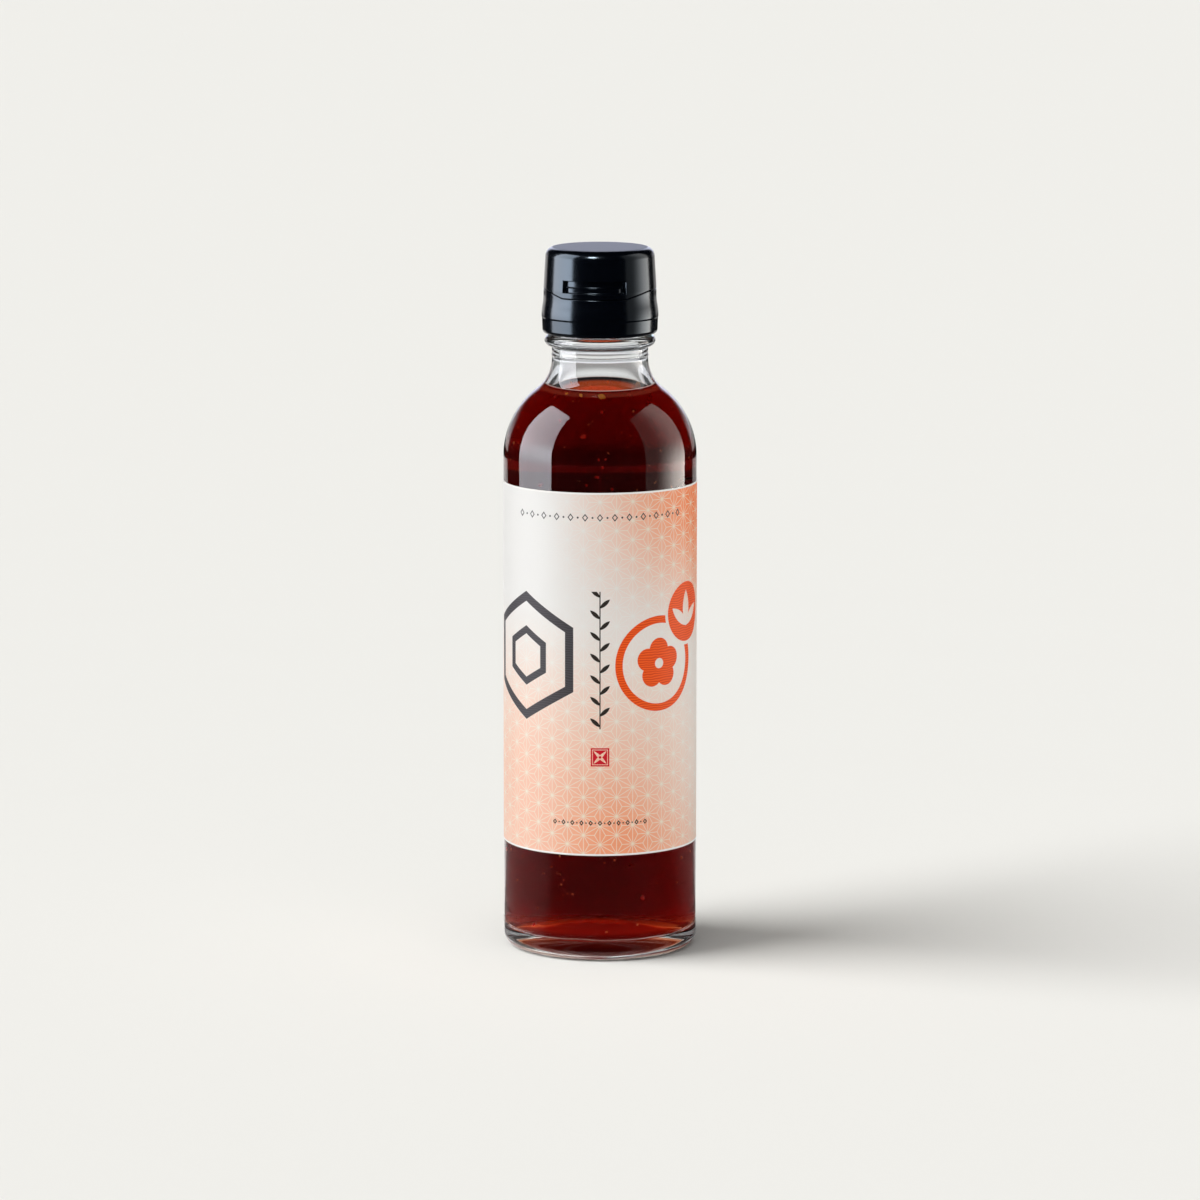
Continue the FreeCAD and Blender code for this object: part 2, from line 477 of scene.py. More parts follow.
def cap_plastic(name, satin_top):
    """Blue-black gloss moulding; the lid's flat top is finely eroded to a satin."""
    gloss, satin = 0.17, 0.42
    made, tree = material(name)
    normal = place(tree, WAVY, {"Wave Size": 4 * MM, "Wave Depth": 0.010 * MM,
                                "Grain Size": 0.35 * MM, "Grain Depth": 0.0012 * MM})["Normal"]
    roughness = gloss
    if satin_top:
        roughness = ramp(tree, parts_of(tree, facing(tree))["Z"], 0.93, 0.995, gloss, satin)
    shader = add(tree, "ShaderNodeBsdfPrincipled", {
        "Base Color": (0.0006, 0.0012, 0.0030, 1), "Roughness": roughness, "IOR": 1.5, "Normal": normal,
        "Specular Tint": (0.70, 0.86, 1.0, 1)})
    finish_with(tree, shader.outputs["BSDF"])
    return made


# ---------------------------------------------------------------- glass bottle and sauce

def cavity_profile(grow=0.0):
    """Inside of the glass from the middle of the floor up to the neck, moved out by grow."""
    floor_r = cavity_r - inner_heel_radius
    heel_z = floor_edge + inner_heel_radius
    return (dome(floor_r, floor_edge - grow, base_rise)
            + arc(floor_r, heel_z, inner_heel_radius + grow, -math.pi / 2, 0, 16)[1:]
            + run((cavity_r + grow, heel_z), (cavity_r + grow, body_height), 16)
            + shoulder(shoulder_radius - body_wall + grow, neck_fillet_radius + neck_wall - grow))


def make_glass():
    """The bottle from under the foot up the outside, over the lip and down the inside."""
    foot_r = body_r - heel_radius
    line_z = neck_start + mould_line_rise
    outside = (dome(foot_r - foot_width, 0, punt_depth)
               + arc(foot_r, heel_radius, heel_radius, -math.pi / 2, 0, 20)
               + run((body_r, heel_radius), (body_r, body_height), 20)
               + shoulder(shoulder_radius, neck_fillet_radius)
               + [(neck_r + mould_line_reach * math.sin(math.pi * t),
                   line_z + (t - 0.5) * mould_line_height) for t in np.linspace(0, 1, 9)]
               + arc(neck_r + bead_fillet, bead_bottom - bead_fillet, bead_fillet,
                     math.pi, math.pi / 2, 9)
               + arc(neck_r + bead_reach - bead_radius, bead_bottom + bead_radius, bead_radius,
                     -math.pi / 2, math.pi / 2, 25)
               + [(neck_r, bead_bottom + 2 * bead_radius)]
               + arc(neck_r - lip_radius, mouth - lip_radius, lip_radius, 0, math.pi / 2, 9)
               + [(bore_r, mouth)])
    inside = split_at(cavity_profile(), fill_line) + [(bore_r, mouth - lip_radius)]
    profile = outside + inside[::-1]
    heights = [z for r, z in profile]

    def wetted(index):
        """1 for a band that the sauce touches, or 0."""
        middle = (heights[index] + heights[index + 1]) / 2
        return 1 if index >= len(outside) and middle < fill_line else 0

    def uneven(angle, radius, height):
        """The pressed glass of the base is a little uneven inside."""
        if height > floor_edge + base_rise + 0.5 * MM or height < punt_depth + 0.5 * MM:
            return 0
        swell = math.sin(3 * angle + 0.6) + 0.6 * math.sin(7 * angle + 2.0) + 0.4 * math.sin(13 * angle)
        return 0.12 * MM * swell * min(1, radius / (10 * MM))

    piece = turned("clear_bottle", profile, (clear_glass("bottle_glass", 1.5, True),
                   clear_glass("wetted_glass", 1.5 / 1.36, False)), wetted, shift=uneven)
    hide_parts("glass_bottle")
    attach(piece, "root")
    return piece


def make_sauce():
    """The filling, a little into the glass, with its surface drawn up at the wall."""
    walls = [p for p in split_at(cavity_profile(wall_overlap), fill_line) if p[1] <= fill_line]
    wall_r = walls[-1][0]
    surface = []
    for share in np.linspace(0, 1, 40)[1:-1]:
        radius = wall_r * (1 - share ** 2)
        climb = math.exp(-(wall_r - radius) / meniscus_width)
        surface.append((radius, fill_line - meniscus_height * (1 - climb)))
    piece = turned("sauce_fill", walls + surface + [(0.0, fill_line - meniscus_height)],
                   (dark_sauce(),), smooth_angle=70)
    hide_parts("sauce")
    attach(piece, "root")
    return piece


# ---------------------------------------------------------------- bits in the sauce

def flake(centre, size, turn, lumps, chance):
    """A small uneven pellet, as vertices and triangles, from a squashed ball of few faces."""
    golden = (1 + math.sqrt(5)) / 2
    corners = [(-1, golden, 0), (1, golden, 0), (-1, -golden, 0), (1, -golden, 0),
               (0, -1, golden), (0, 1, golden), (0, -1, -golden), (0, 1, -golden),
               (golden, 0, -1), (golden, 0, 1), (-golden, 0, -1), (-golden, 0, 1)]
    faces = [(0, 11, 5), (0, 5, 1), (0, 1, 7), (0, 7, 10), (0, 10, 11), (1, 5, 9), (5, 11, 4),
             (11, 10, 2), (10, 7, 6), (7, 1, 8), (3, 9, 4), (3, 4, 2), (3, 2, 6), (3, 6, 8),
             (3, 8, 9), (4, 9, 5), (2, 4, 11), (6, 2, 10), (8, 6, 7), (9, 8, 1)]
    points = [Vector(c).normalized() for c in corners]
    halves = {}
    fine = []
    for a, b, c in faces:
        middles = []
        for one, two in ((a, b), (b, c), (c, a)):
            key = (min(one, two), max(one, two))
            if key not in halves:
                halves[key] = len(points)
                points.append((points[one] + points[two]).normalized())
            middles.append(halves[key])
        ab, bc, ca = middles
        fine += [(a, ab, ca), (ab, b, bc), (ca, bc, c), (ab, bc, ca)]
    spin = Euler(turn).to_matrix()
    out = []
    for point in points:
        swell = 1 + lumps * (chance.random() - 0.5)
        shaped = Vector((point.x * size[0], point.y * size[1], point.z * size[2])) * swell
        out.append(Vector(centre) + spin @ shaped)
    return out, fine


def scatter(name, places, sizes, stuff, seed, lumps=0.5):
    """One mesh of many bits. A place is an angle from the front, a depth under the glass, a height
    and, where it matters, a size."""
    chance = random.Random(seed)
    vertices, faces = [], []
    for angle, depth, height, *given in places:
        big = given[0] if given else sizes[0] + (sizes[1] - sizes[0]) * chance.random() ** 2
        reach = inside_r(height) - depth - big * 0.7
        centre = (reach * math.sin(angle), -reach * math.cos(angle), height)
        size = (big * 0.5, big * (0.2 + 0.25 * chance.random()), big * (0.3 + 0.2 * chance.random()))
        turn = [chance.uniform(0, TAU) for axis in range(3)]
        points, triangles = flake(centre, size, turn, lumps, chance)
        first = len(vertices)
        vertices += [tuple(p) for p in points]
        faces += [tuple(first + i for i in t) for t in triangles]
    piece = new_piece(name, vertices, faces, None, (stuff,), smooth_angle=60)
    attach(piece, "root")
    return piece


def inside_r(height):
    """Inner radius of the glass at a height."""
    profile = [p for p in cavity_profile() if p[1] > floor_edge + base_rise]
    return float(np.interp(height, [z for radius, z in profile], [radius for radius, z in profile]))


def bit_stuff(name, dark, light, roughness):
    """Flesh or skin of a bit, mottled from one colour to the other."""
    made, tree = material(name)
    colour = mix(tree, noise(tree, 1 / 0.4 / MM, 2.0), dark, light)
    normal = place(tree, WAVY, {"Wave Size": 0.5 * MM, "Wave Depth": 0.05 * MM,
                                "Grain Size": 0.15 * MM, "Grain Depth": 0.01 * MM})["Normal"]
    shader = add(tree, "ShaderNodeBsdfPrincipled", {"Base Color": colour, "Roughness": roughness,
                                                    "IOR": 1.4, "Normal": normal})
    finish_with(tree, shader.outputs["BSDF"])
    return made


def make_bits():
    """Zest afloat under the surface, and chilli and pepper all the way down."""
    chance = random.Random(8)
    lowest, highest = 7 * MM, 141 * MM

    def set_by_hand(*bits):
        """Each bit has its degrees from the front, depth, height and sometimes size."""
        return [(math.radians(angle), *others) for angle, *others in bits]

    def spread(count, deepest):
        """Bits anywhere round the bottle, more of them close to the glass."""
        return [(chance.uniform(-math.pi, math.pi), deepest * chance.random() ** 2,
                 chance.uniform(lowest, highest)) for n in range(count)]

    zest = set_by_hand(
        (-38, 0.1 * MM, fill_line - 1.5 * MM, 0.9 * MM),
        (-21, 0.1 * MM, fill_line - 1.7 * MM, 1.2 * MM),
        (2, 0.05 * MM, fill_line - 1.9 * MM, 1.8 * MM),
        (170, 0.2 * MM, fill_line - 1.9 * MM),
        (118, 0.1 * MM, fill_line - 1.2 * MM),
        (-140, 0.1 * MM, fill_line - 1.4 * MM))
    scatter("zest_bits", zest, (0.9 * MM, 2.0 * MM),
            bit_stuff("zest", (0.90, 0.30, 0.02, 1), (1.0, 0.60, 0.10, 1), 0.4), 3)
    chilli = set_by_hand(
        (33, 0.1 * MM, fill_line - 1.7 * MM),
        (48, 0.1 * MM, fill_line - 3.6 * MM),
        (-2, 0.8 * MM, 123.5 * MM),
        (-9, 0.9 * MM, 121.5 * MM),
        (8, 0.7 * MM, 120.5 * MM),
        (-12, 1.0 * MM, 133.0 * MM),
        (-50, 0.2 * MM, fill_line - 2.6 * MM))
    scatter("chilli_bits", chilli + spread(70, 2.5 * MM), (0.5 * MM, 1.5 * MM),
            bit_stuff("chilli", (0.42, 0.01, 0.008, 1), (0.85, 0.05, 0.03, 1), 0.35), 5)
    scatter("pepper_bits", spread(420, 1.4 * MM), (0.22 * MM, 0.75 * MM),
            bit_stuff("pepper", (0.45, 0.16, 0.06, 1), (0.80, 0.42, 0.22, 1), 0.5), 11)


# ---------------------------------------------------------------- cap

def parting_height(angle):
    """Height of the lid's lower edge at an angle from the cap's front."""
    bend = 0.15              # share of the slope over which it levels off into the bib
    across = waist_r * math.sin(angle)
    if math.cos(angle) < 0:
        return parting
    share = min(1, max(0, (bib_end - abs(across)) / (bib_end - bib_flat)))
    if share >= 1 - bend:
        share = 1 - (1 - share) ** 2 / (2 * bend) - bend / 2
    return parting - bib_drop * share / (1 - bend / 2)


def soft_box(value, low, high, edge):
    """1 between low and high, falling smoothly to 0 over the edge width at both ends."""
    def step(share):
        share = min(1, max(0, share))
        return share * share * (3 - 2 * share)

    return step((value - low) / edge + 0.5) * step((high - value) / edge + 0.5)


def lid_side_r(height):
    """The lid's side narrows evenly from the parting line up to its rounded edge."""
    share = (height - parting) / (lid_top - lid_edge_radius - parting)
    return waist_r - lid_draft * max(0, share)


def base_side_r(height):
    """Band, ridge and the ogee that runs up to the waist."""
    if height < band_top:
        share = (height - cap_bottom) / (band_top - cap_bottom)
        return edge_r + (band_r - edge_r) * share
    ridge = band_top + 3 * ridge_step
    if height < ridge:
        share = (height - band_top) / (3 * ridge_step)
        return band_r + (ridge_r - band_r) * share * share * (3 - 2 * share)
    drop = waist_height - ridge
    flare = ridge_r - waist_r
    radius = (drop ** 2 + flare ** 2) / (4 * flare)
    if height < ridge + drop / 2:
        return ridge_r - radius + math.sqrt(radius ** 2 - (height - ridge) ** 2)
    if height < waist_height:
        return waist_r + radius - math.sqrt(radius ** 2 - (waist_height - height) ** 2)
    return waist_r


def hollows(angle, height):
    """Depth of the thumb recess, its tab and the hinge pocket at a place on the cap's side."""
    turn_edge = recess_edge / waist_r
    recess = (soft_box(angle, -thumb_half, thumb_half, turn_edge)
              * soft_box(height, thumb_low, thumb_low + thumb_height, recess_edge))
    tab_middle = tab_half + tab_bevel / 2 / waist_r
    tab = (soft_box(angle, -tab_middle, tab_middle, tab_bevel / waist_r)
           * soft_box(height, thumb_low - thumb_height, thumb_low + tab_height, recess_edge))
    behind = abs(math.pi - abs(angle))
    pocket_half = hinge_half + hinge_clearance / waist_r
    pocket = (soft_box(behind, -pocket_half, pocket_half, turn_edge)
              * soft_box(height, parting - hinge_half_height - hinge_clearance,
                         parting + hinge_half_height + hinge_clearance, recess_edge))
    return thumb_depth * recess - (thumb_depth - tab_setback) * recess * tab + hinge_depth * pocket


def cap_angles():
    """Angles from the cap's front, closer together across the recess and the hinge."""
    fine = math.radians(0.35)
    coarse = math.radians(1.5)
    beside = math.radians(3)
    angles, angle = [], -math.pi
    while angle < math.pi - 1e-6:
        angles.append(angle)
        near_front = abs(angle) < thumb_half + beside
        near_back = math.pi - abs(angle) < hinge_half + beside
        angle += fine if near_front or near_back else coarse
    return angles


def cap_shell(name, rows_at, cad_node, made_of):
    """A cap moulding from columns of (radius, height), one column for each angle round the cap."""
    angles = cap_angles()
    columns = [rows_at(angle) for angle in angles]
    rows = len(columns[0])
    vertices = []
    for row in range(rows):
        for angle, column in zip(angles, columns):
            radius, height = column[row]
            around = angle - math.pi / 2 + cap_turn
            vertices.append((radius * math.cos(around), radius * math.sin(around), height))
    count = len(angles)
    faces = ring_faces(rows, count)
    faces.append(tuple(range(count))[::-1])
    faces.append(tuple(range((rows - 1) * count, rows * count)))
    piece = new_piece(name, vertices, faces, None, (made_of,), smooth_angle=50)
    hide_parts(cad_node)
    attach(piece, "root")
    return piece


def make_lid():
    """The lid, with rows closer together over the recess in its lower half."""
    round_start = lid_top - lid_edge_radius
    top_r = waist_r - lid_draft - lid_edge_radius
    shares = np.concatenate([np.linspace(0, 0.5, 75)[:-1], np.linspace(0.5, 1, 36)])

    def rows_at(angle):
        """Radii and heights up the lid at an angle from the cap's front."""
        low = parting_height(angle)
        start = low + parting_round
        rows = [(waist_r - parting_depth, low)]
        rows += [(r - hollows(angle, low), z) for r, z in
                 arc(waist_r - parting_round, start, parting_round, -math.pi / 2, 0, 6)[:-1]]
        for share in shares:
            height = start + share * (round_start - start)
            rows.append((lid_side_r(height) - hollows(angle, height), height))
        rows += arc(top_r, round_start, lid_edge_radius, 0, math.pi / 2, 24)[1:]
        rows += [(top_r * s, lid_top) for s in (0.8, 0.5, 0.2)]
        return rows

    return cap_shell("cap_lid_moulding", rows_at, "cap_lid", cap_plastic("lid_plastic", True))


def make_cap_base():
    """The ring that grips the neck, up to the seat of the lid."""
    side_rows = 90
    bore_clearance = 0.3 * MM

    def rows_at(angle):
        """Radii and heights up the ring at an angle from the cap's front."""
        top = parting_height(angle) - parting_gap
        end = top - parting_round
        start = cap_bottom + cap_edge_radius
        rows = [(neck_r + bore_clearance, cap_bottom)]
        rows += arc(edge_r - cap_edge_radius, start, cap_edge_radius, -math.pi / 2, 0, 10)[:-1]
        for height in np.linspace(start, end, side_rows):
            rows.append((base_side_r(height) - hollows(angle, height), height))
        rows += [(r - hollows(angle, top), z) for r, z in
                 arc(waist_r - parting_round, end, parting_round, 0, math.pi / 2, 6)[1:]]
        rows.append((waist_r - parting_depth, top))
        return rows

    return cap_shell("cap_base_moulding", rows_at, "cap_base", cap_plastic("base_plastic", False))


def make_hinge():
    """Curved strap with a thin fold line across its middle."""
    inner = waist_r - hinge_depth
    outer = inner + hinge_thickness
    across, rows = 24, 25
    vertices = []
    for row in range(rows):
        height = parting + hinge_half_height * (2 * row / (rows - 1) - 1)
        fold = hinge_fold_depth * math.exp(-((height - parting) / hinge_fold_width) ** 2)
        for step in range(across):
            angle = hinge_half * (2 * step / (across - 1) - 1) + math.pi / 2 + cap_turn
            for radius in (inner, outer - fold):
                vertices.append((radius * math.cos(angle), radius * math.sin(angle), height))

    def corners(*places):
        """Vertex numbers of places given as (row, step, side), where side 1 is the outside."""
        return [(row * across + step) * 2 + side for row, step, side in places]

    faces = []
    for row in range(rows - 1):
        above = row + 1
        for step in range(across - 1):
            for side in (1, 0):
                face = corners((row, step, side), (row, step + 1, side),
                               (above, step + 1, side), (above, step, side))
                faces.append(face[::-1] if side else face)
        for step in (0, across - 1):
            face = corners((row, step, 0), (row, step, 1), (above, step, 1), (above, step, 0))
            faces.append(face if step else face[::-1])
    for step in range(across - 1):
        for row in (0, rows - 1):
            face = corners((row, step, 0), (row, step + 1, 0), (row, step + 1, 1), (row, step, 1))
            faces.append(face if row else face[::-1])
    piece = new_piece("cap_hinge_strap", vertices, faces, None, (cap_plastic("hinge_plastic", False),))
    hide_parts("cap_hinge")
    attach(piece, "root")
    return piece


# ---------------------------------------------------------------- label

# Places on the label are millimetres round from its front line and up from its lower edge.

label_rise = (label_high.z - label_low.z) / MM
hexagon_u, hexagon_v = -21, 50
blossom_u, blossom_v = 16.0, 48.5
sprig_u, sprig_v = 26.5, 60.5
seal_v = 25.3


def coral_wash(u, v):
    """How much coral lies at a place: most at the upper right, and rising again towards the foot."""
    corner = u.ramp(-16, 36) * v.ramp(50, 94) * 0.80 + u.ramp(22, 40) * v.ramp(40, 70) * 0.22
    rising = v.ramp(66, 18) * (1 - u.ramp(4, 38) * 0.72) * (0.31 - u.ramp(-20, -36) * 0.02)
    low_right = bump_of(u, v, 26, -2, 16, 14) * 0.14
    low_middle = bump_of(u, v, 4, 2, 15, 16) * 0.24
    around = 1 - abs(u).ramp(42, 70)
    wash = (corner + rising + low_middle + low_right) * around
    return 1 - (1 - wash) ** 1.6


def two_hexagons(u, v):
    """A hexagonal band with a smaller one inside it."""
    x, y = u - hexagon_u, v - hexagon_v
    outer_band = abs(hexagon(x, y, 14.2) + 1.1) - 1.1
    inner_band = abs(hexagon(x, y, 6.6) + 0.9) - 0.9
    return outer_band.lower(inner_band)


def blossom_and_sprig(u, v):
    """A ring round a five-petalled blossom, cut by a disc that shows three leaves."""
    ring = abs(circle(u, v, blossom_u, blossom_v, 11.2)) - 0.95
    eye = circle(u, v, blossom_u, blossom_v, 1.3)
    blossom = petals(u, v, blossom_u, blossom_v, 5, 3.6, 2.9).upper(-eye)
    disc = circle(u, v, sprig_u, sprig_v, 7.6)
    gap = circle(u, v, sprig_u, sprig_v, 8.5)
    sprig = leaf(u, v, sprig_u, sprig_v + 0.9, 0.0, 4.6, 1.5)
    sprig = sprig.lower(leaf(u, v, sprig_u - 2.8, sprig_v - 1.1, 0.9, 4.0, 1.3))
    sprig = sprig.lower(leaf(u, v, sprig_u + 2.8, sprig_v - 1.1, -0.9, 4.0, 1.3))
    return ring.lower(blossom).upper(-gap).lower(disc.upper(-sprig))


def red_seal(u, v):
    """Small square with a flower left out of it."""
    square = abs(u).upper(abs(v - seal_v)) - 2.35
    return square.upper(-seal_flower(u, v - seal_v))


def label_paper():
    """Printed paper: a coral wash with a pale hemp-leaf lattice, plain ornaments and a laid grain."""
    paper_low = (0.865, 0.850, 0.815, 1)
    paper_high = (0.805, 0.798, 0.785, 1)
    paper_washed = (0.865, 0.835, 0.63, 1)
    coral = (0.93, 0.185, 0.025, 1)
    red = (0.62, 0.004, 0.018, 1)
    bare_edge = (0.90, 0.89, 0.87, 1)
    made, tree = material("label_paper")
    flat = parts_of(tree, add(tree, "ShaderNodeUVMap", uv_map="label_map").outputs[0])
    u = Num(tree, flat["X"]) * 1000
    v = Num(tree, flat["Y"]) * 1000

    wash = coral_wash(u, v)
    lines = hemp_leaf(u, v + 2.0, 4.85).ramp(0.11, 0.045)
    tone = Num(tree, noise(tree, 1 / 0.9 / MM, 2.0)) * 0.16 + 0.92
    fill = wash * tone * (1 - lines * 0.74)
    paper = mix(tree, v.ramp(25, 70).socket, paper_low, paper_high)
    paper = mix(tree, wash.socket, paper, paper_washed)
    colour = mix(tree, fill.socket, paper, coral)

    ribs = laid_ribs(tree, v)
    grey = mix(tree, ribs.socket, (0.044, 0.040, 0.044, 1), (0.066, 0.061, 0.068, 1))
    sepia = mix(tree, ribs.socket, (0.022, 0.016, 0.012, 1), (0.036, 0.027, 0.021, 1))
    orange = mix(tree, ribs.socket, (0.72, 0.055, 0.0, 1), (0.95, 0.115, 0.008, 1))
    colour = printed(tree, colour, two_hexagons(u, v), grey)
    colour = printed(tree, colour, blossom_and_sprig(u, v), orange)
    colour = printed(tree, colour, climbing_stem(u, v, 0.0, 32.5, 67.5), sepia)
    colour = printed(tree, colour, ornament_row(u, v, 86.2, 22.5, 3.75, 0.85), grey)
    colour = printed(tree, colour, ornament_row(u, v, 8.4, 11.8, 2.36, 0.62), sepia)
    colour = printed(tree, colour, red_seal(u, v), red)
    margin = v.lower(label_rise - v).ramp(0.50, 0.42)
    colour = mix(tree, margin.socket, colour, bare_edge)

    shader = add(tree, "ShaderNodeBsdfPrincipled", {"Base Color": colour, "Roughness": 0.5,
                                                    "IOR": 1.30, "Normal": laid_grain(tree, ribs)})
    finish_with(tree, shader.outputs["BSDF"])
    return made


def label_back():
    """Glued side of the label, seen through the sauce; a painted glow stands for the light that comes
    through the paper.
    """
    made, tree = material("label_back")
    fibre = noise(tree, 1 / 0.8 / MM, 3.0)
    colour = mix(tree, fibre, (0.50, 0.47, 0.42, 1), (0.66, 0.63, 0.57, 1))
    # painted glow: stands for light that shines through the paper from outside
    glow = mix(tree, fibre, (0.19, 0.18, 0.165, 1), (0.25, 0.24, 0.225, 1))
    shader = add(tree, "ShaderNodeBsdfPrincipled", {"Base Color": colour, "Roughness": 0.8,
                                                    "Emission Color": glow, "Emission Strength": 1.0})
    finish_with(tree, shader.outputs["BSDF"])
    return made


def printed(tree, ground, distance, ink):
    """Lays an ink over the ground where the distance in millimetres is below zero."""
    return mix(tree, distance.ramp(0.05, -0.05).socket, ground, ink)


def noise(tree, scale, detail):
    """Cloudy pattern through the piece, mostly near 0.5; scale is in lumps to the metre."""
    made = add(tree, "ShaderNodeTexNoise", {"Vector": own_place(tree), "Scale": scale, "Detail": detail})
    return made.outputs["Fac"]


def laid_ribs(tree, v):
    """Fine wavy ribs that run round the label, from 0 to 1."""
    rib_pitch = 0.62
    sway = Num(tree, noise(tree, 1 / 3 / MM, 1.0))
    return ((v + sway) * (TAU / rib_pitch)).sine() * 0.5 + 0.5


def laid_grain(tree, ribs):
    """The ribs with paper fibre between them, as a normal."""
    fibre = Num(tree, noise(tree, 1 / 0.25 / MM, 2.0))
    bump = add(tree, "ShaderNodeBump", {"Height": (ribs + fibre).socket, "Distance": 0.005 * MM})
    return bump.outputs["Normal"]


def length(x, y):
    """Distance of a place from the middle."""
    return (x * x + y * y).root()


def circle(u, v, at_u, at_v, radius):
    """Distance outside a circle, below zero inside it, as for all the shapes that follow."""
    return length(u - at_u, v - at_v) - radius


def hexagon(x, y, across):
    """Distance outside a hexagon that stands on a corner; across is from its middle to a side."""
    return abs(x).upper(abs(x) * 0.5 + abs(y) * 0.866) - across


def bump_of(u, v, at_u, at_v, wide, high):
    """1 at a place, fading out round it over a width and a height."""
    return (0 - ((u - at_u) / wide) ** 2 - ((v - at_v) / high) ** 2).exponential()


def leaf(u, v, at_u, at_v, turn, long, wide):
    """Pointed leaf, the overlap of two discs. Turn is in radians from upright."""
    x = (u - at_u) * math.cos(turn) + (v - at_v) * math.sin(turn)
    y = (v - at_v) * math.cos(turn) - (u - at_u) * math.sin(turn)
    radius = (long ** 2 + wide ** 2) / (2 * wide)
    return length(abs(x) + (radius - wide), y) - radius


def petals(u, v, at_u, at_v, count, reach, radius):
    """Round petals in a ring, joined in the middle."""
    shape = circle(u, v, at_u, at_v, reach * 0.75)
    for step in range(count):
        turn = TAU * step / count
        petal_u = at_u + reach * math.sin(turn)
        petal_v = at_v + reach * math.cos(turn)
        shape = shape.lower(circle(u, v, petal_u, petal_v, radius))
    return shape


def seal_flower(x, y):
    """Four leaves set crosswise in a small square frame."""
    leaves = leaf(x, y, 0.0, 0.0, math.pi / 4, 2.3, 0.40)
    leaves = leaves.lower(leaf(x, y, 0.0, 0.0, -math.pi / 4, 2.3, 0.40))
    edging = abs(abs(x).upper(abs(y)) - 1.90) - 0.08
    return leaves.upper(0.35 - length(x, y)).lower(edging)


def climbing_stem(u, v, at_u, low, high):
    """Thin upright stem with small leaves on alternate sides."""
    step = 2.75
    y = (v - low) / step
    side = (y.floor() * 0.5).fraction() * 4 - 1
    across = (u - at_u) * side
    shape = leaf(across, (y.fraction() - 0.5) * step, 1.2, 0.25, -0.85, 1.75, 0.52)
    shape = shape.lower(abs(u - at_u) - 0.15)
    return shape.upper(low - v).upper(v - high)


def ornament_row(u, v, at_v, half, step, size):
    """Row of small lozenges with a dot between each two."""
    x = ((u / step + 0.5).fraction() - 0.5) * step
    between = ((u / step).fraction() - 0.5) * step
    lozenge = (abs(x) + abs(v - at_v) * 0.8) - size
    hollow = abs(lozenge + 0.22) - 0.16
    dot = length(between, v - at_v) - size * 0.3
    return hollow.lower(dot).upper(abs(u) - half - size)


def hemp_leaf(u, v, pitch):
    """Distance from the nearest line of the hemp-leaf lattice, whose star centres lie a pitch apart."""
    height = pitch * math.sqrt(3) / 2
    first = u / height
    third = (v * (math.sqrt(3) / 2) - u * 0.5) / height
    a, b = first.fraction(), third.fraction()
    total = a + b
    upper = total.above(1.0)
    one = a + upper * (1 - a * 2)
    three = b + upper * (1 - b * 2)
    two = abs(1 - total)
    least = one.lower(two).lower(three)
    most = one.upper(two).upper(three)
    middle = one + two + three - least - most
    return (least * height).lower((middle - least) * (height / math.sqrt(3)))


def make_label():
    """Thin wrap whose ends meet at the back; its map holds metres round and up the label."""
    seam = math.radians(0.3)
    low, high = label_low.z, label_high.z
    outer, inner = label_high.x, body_r + 0.01 * MM
    columns, rows = 240, 30
    angles = np.linspace(-math.pi + seam, math.pi - seam, columns)
    heights = np.linspace(low, high, rows)
    vertices, places = [], []
    for radius in (outer, inner):
        for height in heights:
            for angle in angles:
                around = angle - math.pi / 2
                vertices.append((radius * math.cos(around), radius * math.sin(around), height))
                places.append((angle * outer, height - low))
    half = columns * rows
    outside = ring_faces(rows, columns, closed=False)
    faces = outside + [tuple(half + i for i in face[::-1]) for face in outside]
    border = ([i for i in range(columns)] + [r * columns + columns - 1 for r in range(1, rows)]
              + [(rows - 1) * columns + i for i in range(columns - 2, -1, -1)]
              + [r * columns for r in range(rows - 2, 0, -1)])
    for a, b in zip(border, border[1:] + border[:1]):
        faces.append((b, a, half + a, half + b))
    slots = [0] * len(outside) + [1] * len(outside) + [0] * len(border)
    piece = new_piece("wrap_label", vertices, faces, slots, (label_paper(), label_back()))
    layer = piece.data.uv_layers.new(name="label_map")
    flat = np.zeros(2 * len(piece.data.loops))
    for index, loop in enumerate(piece.data.loops):
        flat[2 * index:2 * index + 2] = places[loop.vertex_index]
    layer.data.foreach_set("uv", flat)
    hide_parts("label")
    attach(piece, "root")
    return piece


# ---------------------------------------------------------------- studio

def only_mirrored(piece):
    """Puts a glowing piece in the studio so that it shows in gloss and nowhere else."""
    studio.objects.link(piece)
    piece.visible_camera = False
    piece.visible_diffuse = False
    piece.visible_transmission = False
    piece.visible_shadow = False


def heading(azimuth, rise=0.0):
    """Direction at an azimuth from the front and a rise above the level, both in degrees."""
    turn, lift = math.radians(azimuth), math.radians(rise)
    return Vector((math.cos(lift) * math.sin(turn), -math.cos(lift) * math.cos(turn), math.sin(lift)))


